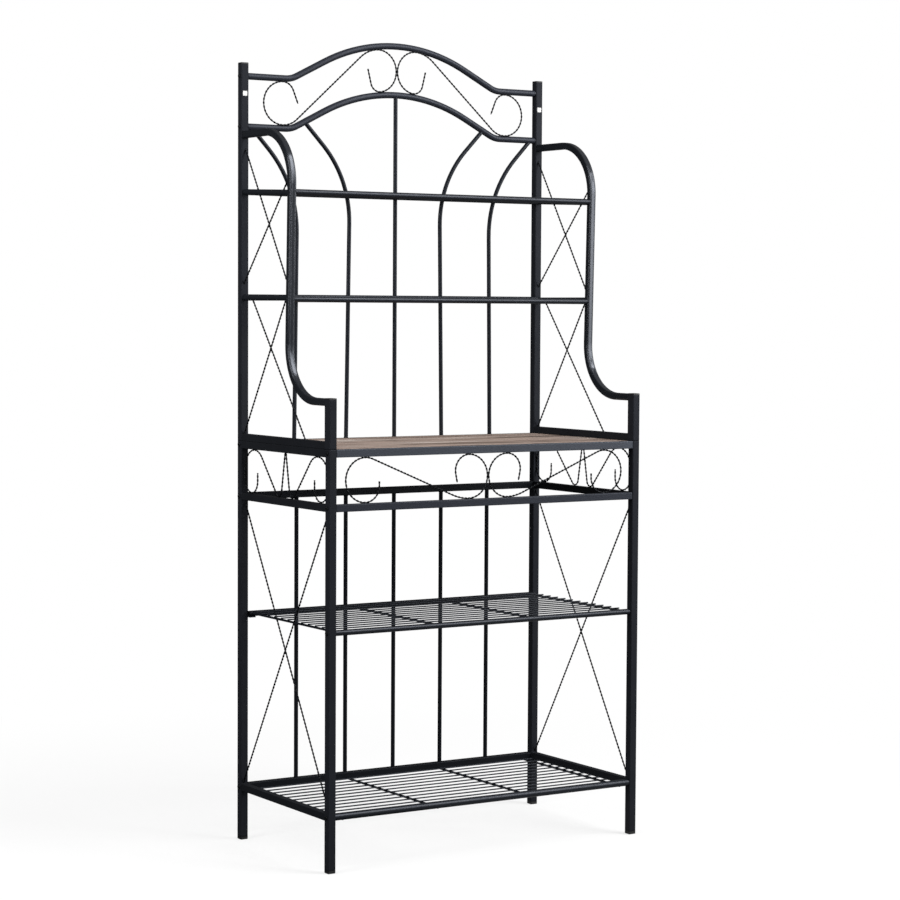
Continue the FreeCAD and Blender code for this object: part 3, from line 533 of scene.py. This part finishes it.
def front_scroll():
    """The left S scroll as level and upright places, its tacks, and the height at
    which it touches its twin."""
    ring_r = (SCROLL_HIGH - SCROLL_LOW) / 2
    middle = (SCROLL_HIGH + SCROLL_LOW) / 2
    tail_r = 32.5
    curl_r = 32.7
    ease_r = 100.0
    curl_lean = 11.5
    tail_straight = 9.0
    curl_straight = 18.0
    ring = (-293.0, middle)
    loop = (-ring_r - WIRE_R - TOUCH, middle)
    tail = (ring[0], SCROLL_LOW + tail_r)
    ease = (loop[0], SCROLL_LOW + ease_r)
    curl = (loop[0], SCROLL_HIGH - curl_r)
    fall = crossing_angle(ring, ring_r, ease, ease_r, -1)
    curl_end = on_circle(curl, curl_r, 180 + curl_lean)
    tail_start = on_circle(tail, tail_r, 0)
    steps = [("to", tail_start),
             ("turn", tail, -90),
             ("turn", ring, fall - 180),
             ("to", on_circle(ease, ease_r, fall - 90)),
             ("turn", ease, -fall),
             ("turn", loop, 180),
             ("turn", curl, 90 + curl_lean),
             ("to", on_circle(curl_end, curl_straight, curl_lean - 90))]
    tacks = [(ring[0], SCROLL_LOW - WIRE_R), (ring[0], SCROLL_HIGH + WIRE_R),
             (loop[0], SCROLL_LOW - WIRE_R), (loop[0], SCROLL_HIGH + WIRE_R)]
    return bent_line((tail_start[0], tail_start[1] + tail_straight), steps), tacks, middle


def scroll_pair(scroll, y, tack_size):
    """A scroll and its twin, tacked to the frame and to each other."""
    shape = ([], [])
    line, tacks, middle = scroll
    for flip in (1, -1):
        add_twisted_wire(shape, [Vector((flip * x, y, z)) for x, z in line], ALONG["y"])
        for x, z in tacks:
            add_tack(shape, Vector((flip * x, y, z)), ALONG["x"], tack_size)
    add_tack(shape, Vector((0, y, middle)), ALONG["z"], PAIR_TACK)
    return shape


shape = scroll_pair(front_scroll(), FRONT_Y, FRONT_TACK)
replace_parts(piece_from("front_scrolls_twisted", shape, wire_coat),
            "front_scrolls")

# ---- Lower back --------------------------------------------------------------
# Three square rails bolted between the rear legs, with five upright round tubes
# welded between the lowest two.  Their coat is the frame's coat painted close to
# black: painted shade, for the back of the rack lies in the worktop's shade.

REAR_Y = 189.5
BAR_R = 4.5
BAR_PITCH = 121.5           # from bar to bar

# Painted shade: the frame's coat made near black for the back of the rack.
shaded_back_coat = powder_coat("painted_shade_coat_on_lower_back", "#17191d", "#101215", 0.38,
                        round_mm=3.0, gloss=0.12)
dress(shaded_back_coat, "worktop_rear_rail", "apron_rear_rail", "bottom_rear_rail",
      "lower_back_bars")


def bar_beads(ends):
    """Beads round the (x, z) ends of the upright back bars."""
    shape = ([], [])
    for x, z in ends:
        ring = ring_path(Vector((x, REAR_Y, z)), ALONG["x"], ALONG["y"], BAR_R)
        add_bead(shape, ring, ALONG["z"], SMALL_BEAD_R)
    return shape


shape = bar_beads([(i * BAR_PITCH, z) for i in range(-2, 3)
                   for z in (BOTTOM_Z + RAIL / 2, APRON_Z - RAIL / 2)])
piece_from("lower_back_welds", shape, shaded_back_coat)

# ---- Worktop board -----------------------------------------------------------
# Fibreboard faced with a rustic wood-grain foil, its edges eased.  It drops into
# the worktop frame and lies on steel tabs.  The print has long streaks of pale
# weathered grey-pink and dark brown that run from side to side.

PORE_DEPTH = 0.12
PORE_STRENGTH = 0.22
FOIL_IOR = 1.46
FOIL_GLOSS = 0.3


def rustic_foil(name):
    """Printed and embossed foil: broad streaks of colour, fine lines of grain and
    short marks across them, with pores pressed in along the lines."""
    material, tree, place = new_finish(name)

    def streaks(long_mm, wide_mm, detail, distortion):
        """Noise drawn out along X."""
        stretch = add_node(tree, "ShaderNodeMapping", {
            "Vector": place,
            "Scale": (per_metre(long_mm), per_metre(wide_mm), per_metre(wide_mm))})
        return add_node(tree, "ShaderNodeTexNoise",
                        {"Vector": stretch.outputs["Vector"], "Scale": 1.0,
                         "Detail": detail, "Roughness": 0.62, "Distortion": distortion})

    broad = streaks(420.0, 46.0, 3.0, 0.4)
    fine = streaks(130.0, 3.4, 5.0, 0.2)
    saw = streaks(14.0, 90.0, 2.0, 0.1)
    colour = add_node(tree, "ShaderNodeValToRGB", {"Fac": broad.outputs["Fac"]})
    stops = colour.color_ramp.elements
    stops[0].position = 0.34
    stops[0].color = linear("#6b5d54")
    stops[1].position = 0.66
    stops[1].color = linear("#d4c5bb")
    for position, tint in ((0.43, "#8b776c"), (0.51, "#b6a195"), (0.58, "#9a8a81")):
        stops.new(position).color = linear(tint)
    lines = add_node(tree, "ShaderNodeMapRange",
                     {"Value": fine.outputs["Fac"], "From Min": 0.34, "From Max": 0.62,
                      "To Min": 0.60, "To Max": 1.14})
    marks = add_node(tree, "ShaderNodeMapRange",
                     {"Value": saw.outputs["Fac"], "From Min": 0.35, "From Max": 0.65,
                      "To Min": 0.93, "To Max": 1.05})
    shade = add_node(tree, "ShaderNodeMath",
                     {0: lines.outputs["Result"], 1: marks.outputs["Result"]},
                     operation="MULTIPLY")
    tone = add_node(tree, "ShaderNodeVectorMath",
                    {0: colour.outputs["Color"], "Scale": shade.outputs["Value"]},
                    operation="SCALE")
    shine = add_node(tree, "ShaderNodeMapRange",
                     {"Value": fine.outputs["Fac"], "From Min": 0.3, "From Max": 0.7,
                      "To Min": 0.52, "To Max": 0.40})
    pores = add_node(tree, "ShaderNodeBump",
                     {"Height": fine.outputs["Fac"], "Strength": PORE_STRENGTH,
                      "Distance": PORE_DEPTH * MM})
    finish_surface(tree, {"Base Color": tone.outputs["Vector"],
                          "Roughness": shine.outputs["Result"],
                          "Normal": pores.outputs["Normal"], "IOR": FOIL_IOR,
                          "Specular IOR Level": FOIL_GLOSS})
    return material


dress(rustic_foil("rustic_wood_grain_foil"), "worktop_board")
dress(tube_coat, "support_tabs")

# ---- Middle and bottom shelves -----------------------------------------------
# A round tube at the front of each, rods from front to back and wires laid over
# them from side to side, all spot welded, then coated with the frame.  The
# middle shelf has a round tube at the back as well.

deck_coat = powder_coat("satin_charcoal_coat_on_shelf_wire", "#1e2127", "#16181c", 0.30)
bar_coat = powder_coat("gloss_charcoal_coat_on_round_bars", "#1d2026", "#17191d", 0.26,
                       pebble_mm=9.0, gloss=0.28)
dress(bar_coat, "mid_shelf_front_bar", "bottom_shelf_front_bar")
# The middle shelf's rear bar takes the same coat, painted near black as shade.
dress(shaded_back_coat, "mid_shelf_rear_bar")
dress(deck_coat, "mid_shelf_rods", "mid_shelf_wires", "bottom_shelf_rods",
      "bottom_shelf_wires")

# ---- Upper side frames -------------------------------------------------------
# Rear posts and short front stubs on a sill rail, and a square tube bent into an
# S that joins them, all welded.  They stand on the lower frames over spigots.

SILL_Z = 857.5
STUB_BACK_Y = -177.0        # rear face of a front stub
BOW = 15.0                  # the bent tube's size
BOW_HIGH_Z = 1492.5         # where it meets the rear post and the stub
BOW_LOW_Z = 943.5

bow_coat = powder_coat("satin_charcoal_coat_on_bent_tube", "#1c1f24", "#15171b", 0.15,
                       pebble_mm=12.0, round_mm=6.0, gloss=0.6)
for side, x in (("left_", -SIDE_X), ("right_", SIDE_X)):
    dress(leg_coat, side + "rear_post", side + "front_stub")
    dress(shaded_side_coat, side + "sill_rail")
    dress(bow_coat, side + "bow_tube")
    twist_straight_wires(side + "mid_cross_wires")
    twist_straight_wires(side + "top_cross_wires")
    shape = frame_beads(x, [(LEG_INNER_Y, SILL_Z, RAIL), (STUB_BACK_Y, SILL_Z, RAIL),
                            (LEG_INNER_Y, BOW_HIGH_Z, BOW), (STUB_BACK_Y, BOW_LOW_Z, BOW)])
    # The beads take the side rails' coat with its painted shade.
    piece_from(side + "upper_frame_welds", shape, shaded_side_coat)

# ---- Upper shelves -----------------------------------------------------------
# Two shelves, each a frame of round tubes, at the front, the back and along each
# side, with wires between.  The front tube is welded between the bent tubes.

SHELF_BAR_R = 6.0
SHELF_BAR_X = SIDE_X - BOW / 2

for shelf, z in (("second_shelf", 1148.0), ("top_shelf", 1365.5)):
    dress(bar_coat, shelf + "_cross_bars", shelf + "_side_bars")
    dress(deck_coat, shelf + "_wires")
    front_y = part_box(shelf + "_cross_bars")[0][1] / MM + SHELF_BAR_R
    shape = ([], [])
    for x in (-SHELF_BAR_X, SHELF_BAR_X):
        add_bead(shape, ring_path(Vector((x, front_y, z)), ALONG["y"], ALONG["z"],
                                  SHELF_BAR_R), ALONG["x"], SMALL_BEAD_R)
    piece_from(shelf + "_welds", shape, bar_coat)

# ---- Crown and upper back ----------------------------------------------------
# Two equal arches of round tube, a centre bar and two pairs of bars that fan out
# into the lower arch, and a mirrored pair of S scrolls between the arches.

BACK_BAR_FEET = (-249.0, -BAR_PITCH, 0.0, BAR_PITCH, 249.0)

dress(tube_coat, "crown_arch_top", "crown_arch_low")
dress(deck_coat, "back_center_bar", "fan_bars_inner", "fan_bars_outer")
shape = bar_beads([(x, WORKTOP_RAIL_Z + TOP_RAIL / 2) for x in BACK_BAR_FEET])
piece_from("upper_back_welds", shape, deck_coat)

ARCH_R = 7.0                # the tube's radius
ARCH_BEND = 390.0           # radius of the bend at the crown
ARCH_FLAT_Z = 1615.0        # the upper arch at the posts
ARCH_RISE = 83.8            # from there to the crown
ARCH_HIGH_CENTRE = ARCH_FLAT_Z + ARCH_RISE - ARCH_BEND
ARCH_SPACING = 105.3        # the lower arch is the same, this much lower
CROWN_FORWARD = 5.0         # the scrolls stand this much in front of the arches
CROWN_TACK = (7.0, 2.2)
CROWN_TACK_SHIFT = 1.0
ARCH_CLEAR = math.sqrt((ARCH_R + WIRE_R + TOUCH) ** 2 - CROWN_FORWARD ** 2)


def crown_loop():
    """The inner loop touches its twin and both arches; its radius is found by
    halving."""
    small = 30.0
    large = 60.0
    for _ in range(60):
        radius = (small + large) / 2
        x = radius + WIRE_R + TOUCH
        from_high = (ARCH_HIGH_CENTRE
                     + math.sqrt((ARCH_BEND - ARCH_CLEAR - radius) ** 2 - x * x))
        from_low = (ARCH_HIGH_CENTRE - ARCH_SPACING
                    + math.sqrt((ARCH_BEND + ARCH_CLEAR + radius) ** 2 - x * x))
        if from_high > from_low:
            small = radius
        else:
            large = radius
    return (-x, (from_high + from_low) / 2), radius


def crown_scroll():
    """The left S scroll as level and upright places, its tacks, and the height at
    which it touches its twin."""
    loop, loop_r = crown_loop()
    ring_r = ARCH_SPACING / 2 - ARCH_CLEAR
    tail_r = 27.0
    foot_r = 50.0
    brow_r = 72.0
    curl_r = 22.0
    tail_lean = 22.0
    curl_lean = 14.0
    tail_straight = 30.0
    curl_straight = 32.0
    ring = (-280.6, ARCH_FLAT_Z - ARCH_SPACING / 2)
    tail = (ring[0], ring[1] + ring_r - tail_r)
    foot = (ring[0], ring[1] - ring_r + foot_r)
    tilt = math.degrees(math.atan2(loop[1] - ARCH_HIGH_CENTRE, loop[0]))
    brow = on_circle(loop, loop_r - brow_r, tilt)
    curl = on_circle(loop, loop_r - curl_r, tilt + 180)
    climb = crossing_angle(foot, foot_r, brow, brow_r, 1)
    tail_start = on_circle(tail, tail_r, tail_lean)
    curl_end = on_circle(curl, curl_r, 180 + curl_lean)
    steps = [("to", tail_start),
             ("turn", tail, 90 - tail_lean),
             ("turn", ring, 180),
             ("turn", foot, climb),
             ("to", on_circle(brow, brow_r, climb + 90)),
             ("turn", brow, tilt - climb - 90),
             ("turn", loop, -180),
             ("turn", curl, curl_lean - tilt),
             ("to", on_circle(curl_end, curl_straight, 90 + curl_lean))]
    tacks = [(ring[0], ring[1] + ring_r + CROWN_TACK_SHIFT),
             (ring[0], ring[1] - ring_r - CROWN_TACK_SHIFT),
             on_circle(loop, loop_r + CROWN_TACK_SHIFT, tilt),
             on_circle(loop, loop_r + CROWN_TACK_SHIFT, tilt + 180)]
    start = on_circle(tail_start, tail_straight, tail_lean - 90)
    return bent_line(start, steps), tacks, loop[1]


shape = scroll_pair(crown_scroll(), REAR_Y - CROWN_FORWARD, CROWN_TACK)
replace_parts(piece_from("crown_scrolls_twisted", shape, wire_coat),
            "crown_scrolls")

# ---- Caps, bolts and labels --------------------------------------------------
# Feet and tube caps are moulded polyethylene with a fine spark texture.  The
# bolts are black-oxide socket screws; their end nuts and the spigots sit inside
# the tubes.  A blank label film marks each rear post.

TEXTURE_DEPTH = 0.05
TEXTURE_STRENGTH = 0.3
PLASTIC_IOR = 1.51


def moulded_plastic(name, colour, roughness, texture_mm):
    """Plastic in one colour, with the fine texture of its mould or film."""
    material, tree, place = new_finish(name)
    texture = add_node(tree, "ShaderNodeTexNoise",
                       {"Vector": place, "Scale": per_metre(texture_mm), "Detail": 2.0})
    tone = add_node(tree, "ShaderNodeMapRange",
                    {"Value": texture.outputs["Fac"], "To Min": 0.8, "To Max": 1.2})
    mixed = add_node(tree, "ShaderNodeVectorMath",
                     {0: linear(colour)[:3], "Scale": tone.outputs["Result"]},
                     operation="SCALE")
    skin = add_node(tree, "ShaderNodeBump",
                    {"Height": texture.outputs["Fac"], "Strength": TEXTURE_STRENGTH,
                     "Distance": TEXTURE_DEPTH * MM})
    finish_surface(tree, {"Base Color": mixed.outputs["Vector"], "Roughness": roughness,
                          "Normal": skin.outputs["Normal"], "IOR": PLASTIC_IOR})
    return material


dress(moulded_plastic("moulded_black_polyethylene", "#17181a", 0.5, 0.5), "foot_caps",
      "tube_caps")
# Oxide and zinc take the coat's recipe, with patterns as small as theirs are.
dress(powder_coat("black_oxide_on_steel", "#1c1d1f", "#121314", 0.3, pebble_mm=0.5,
                  cloud_mm=6.0), "frame_bolts")
dress(powder_coat("zinc_plated_steel", "#8d8f92", "#77797c", 0.4, cloud_mm=12.0),
      "tube_inserts")
dress(moulded_plastic("white_label_film", "#e4e4e1", 0.4, 1.0), "assembly_stickers")

# ---- Floor -------------------------------------------------------------------
# A plain pale floor.  Near the rack it takes the soft shadow; farther out the
# camera sees it fade into the white of the room, and gloss sees it as bright as
# the room is on that side.  It throws little light back up at the rack.

WELL_BEHIND = -0.45
FLOOR_BRIGHT_SIDE = (0.70, -0.50, 0.0)


def room_level(tree, heading, direction, dim, bright):
    """How bright the room is, from dim at the back of the given direction to
    bright straight along it."""
    towards = add_node(tree, "ShaderNodeVectorMath",
                       {0: heading, 1: direction}, operation="DOT_PRODUCT")
    return add_node(tree, "ShaderNodeMapRange",
                    {"Value": towards.outputs["Value"], "From Min": WELL_BEHIND,
                     "From Max": 1.0, "To Min": dim, "To Max": bright},
                    interpolation_type="SMOOTHSTEP")


def seen_straight(tree):
    """The light paths, and 1 where a camera or transmission ray meets this."""
    paths = add_node(tree, "ShaderNodeLightPath")
    seen = add_node(tree, "ShaderNodeMath", {0: paths.outputs["Is Camera Ray"],
                                             1: paths.outputs["Is Transmission Ray"]},
                    operation="MAXIMUM")
    return paths, seen


FLOOR_RADIUS = 30.0         # metres
FLOOR_Z = -0.0005
RIM_CORNERS = 72
FADE_START = 0.7            # metres from the middle of the rack
FADE_END = 1.9
NEAR_GLOW = 0.70            # share of the white that it has near the rack

floor_mesh = bpy.data.meshes.new("floor")
rim = [(FLOOR_RADIUS * math.cos(2 * math.pi * i / RIM_CORNERS),
        FLOOR_RADIUS * math.sin(2 * math.pi * i / RIM_CORNERS), FLOOR_Z)
       for i in range(RIM_CORNERS)]
floor_mesh.from_pydata(rim, [], [tuple(range(RIM_CORNERS))])
floor = bpy.data.objects.new("floor", floor_mesh)
bpy.context.scene.collection.objects.link(floor)

floor_finish, tree, place = new_finish("pale_matte_floor")
reach = add_node(tree, "ShaderNodeVectorMath", {0: place}, operation="LENGTH")
fade = add_node(tree, "ShaderNodeMapRange",
                {"Value": reach.outputs["Value"], "From Min": FADE_START,
                 "From Max": FADE_END, "To Min": NEAR_GLOW, "To Max": 1.0},
                interpolation_type="SMOOTHSTEP")
paths, seen = seen_straight(tree)
share = add_node(tree, "ShaderNodeMath", {0: fade.outputs["Result"],
                                          1: seen.outputs["Value"],
                                          2: paths.outputs["Is Glossy Ray"]},
                 operation="MULTIPLY_ADD")
side_of_room = add_node(tree, "ShaderNodeVectorMath", {0: place}, operation="NORMALIZE")
in_gloss = room_level(tree, side_of_room.outputs["Vector"], FLOOR_BRIGHT_SIDE, 0.03, 0.35)
strength = add_node(tree, "ShaderNodeMix", {"Factor": seen.outputs["Value"],
                                            2: in_gloss.outputs["Result"], 3: 1.0},
                    data_type="FLOAT")
grain = add_node(tree, "ShaderNodeTexNoise", {"Vector": place, "Scale": per_metre(900.0)})
pale = add_node(tree, "ShaderNodeMix", {"Factor": grain.outputs["Fac"],
                                        "A": linear("#f4f4f4"), "B": linear("#efefef")},
                data_type="RGBA")
bounced = add_node(tree, "ShaderNodeMix", {"Factor": seen.outputs["Value"],
                                           "A": linear("#6a6a6a"),
                                           "B": pale.outputs["Result"]},
                   data_type="RGBA")
matte = add_node(tree, "ShaderNodeBsdfDiffuse", {"Color": bounced.outputs["Result"]})
glow = add_node(tree, "ShaderNodeEmission", {"Color": (1, 1, 1, 1),
                                             "Strength": strength.outputs[0]})
both = add_node(tree, "ShaderNodeMixShader", {"Fac": share.outputs["Value"],
                                              1: matte.outputs["BSDF"],
                                              2: glow.outputs["Emission"]})
add_node(tree, "ShaderNodeOutputMaterial", {"Surface": both.outputs["Shader"]})
floor_mesh.materials.append(floor_finish)

# ---- Light -------------------------------------------------------------------
# A white room with soft boxes in front, to the right and high up, and a weak
# card to the left.  The camera sees it pure white; gloss sees it pale in front
# and dark at the back left, which keeps the left faces of the tubes deep.

OVERHEAD = (0.10, -0.15, 0.98)
ROOM_BRIGHT_SIDE = (0.55, -0.80, 0.25)

room = bpy.data.worlds.new("soft_room")
bpy.context.scene.world = room
room.use_nodes = True
tree = room.node_tree
tree.nodes.clear()
heading = add_node(tree, "ShaderNodeTexCoord").outputs["Generated"]
paths, seen = seen_straight(tree)
on_matte = room_level(tree, heading, OVERHEAD, 0.56, 0.64)
in_gloss = room_level(tree, heading, ROOM_BRIGHT_SIDE, 0.05, 0.60)
unseen = add_node(tree, "ShaderNodeMix", {"Factor": paths.outputs["Is Glossy Ray"],
                                          2: on_matte.outputs["Result"],
                                          3: in_gloss.outputs["Result"]}, data_type="FLOAT")
strength = add_node(tree, "ShaderNodeMix", {"Factor": seen.outputs["Value"],
                                            2: unseen.outputs[0], 3: 1.0},
                    data_type="FLOAT")
shown = add_node(tree, "ShaderNodeBackground", {"Color": (1, 1, 1, 1),
                                                "Strength": strength.outputs[0]})
add_node(tree, "ShaderNodeOutputWorld", {"Surface": shown.outputs["Background"]})


def soft_box(name, place, aim, size, watts):
    """A rectangular lamp; place, aim and size are in metres."""
    lamp = bpy.data.lights.new(name, "AREA")
    lamp.shape = "RECTANGLE"
    lamp.size, lamp.size_y = size
    lamp.energy = watts
    holder = bpy.data.objects.new(name, lamp)
    bpy.context.scene.collection.objects.link(holder)
    holder.location = place
    holder.visible_camera = False
    heading = Vector(aim) - Vector(place)
    holder.rotation_euler = heading.to_track_quat("-Z", "Y").to_euler()


soft_box("front_right_box", (2.5, -2.75, 1.3), (0.2, 0, 1.2), (1.2, 1.0), 20.0)
soft_box("high_strip_box", (1.65, -2.4, 3.1), (0, 0, 1.1), (1.1, 3.1), 96.0)
soft_box("right_strip_box", (2.7, -1.9, 2.3), (0.35, 0, 1.1), (0.4, 2.4), 36.0)
soft_box("left_fill_card", (-2.0, -0.3, 1.7), (-0.37, 0, 1.0), (0.8, 1.4), 22.0)

# ---- Camera ------------------------------------------------------------------
# A long lens at chest height, in front of the rack and to its left, turned to
# the rack and tipped down a little.

EYE = Vector((-2.80195, -4.49932, 1.13060))     # metres
YAW = 0.5611                # radians
PITCH = -0.0566
ROLL = 0.0056
FILM_WIDTH = 36.0
FOCAL_LENGTH = 99.772

forward = Vector((math.sin(YAW) * math.cos(PITCH), math.cos(YAW) * math.cos(PITCH),
                  math.sin(PITCH)))
level_right = Vector((math.cos(YAW), -math.sin(YAW), 0))
level_up = level_right.cross(forward)
right = level_right * math.cos(ROLL) + level_up * math.sin(ROLL)
up = level_up * math.cos(ROLL) - level_right * math.sin(ROLL)
lens = bpy.data.cameras.new("camera")
lens.sensor_fit = "HORIZONTAL"
lens.sensor_width = FILM_WIDTH
lens.lens = FOCAL_LENGTH
camera = bpy.data.objects.new("camera", lens)
bpy.context.scene.collection.objects.link(camera)
turned = Matrix((right, up, -forward)).transposed().to_4x4()
camera.matrix_world = Matrix.Translation(EYE) @ turned
bpy.context.scene.camera = camera
bpy.context.scene.view_settings.view_transform = "Standard"
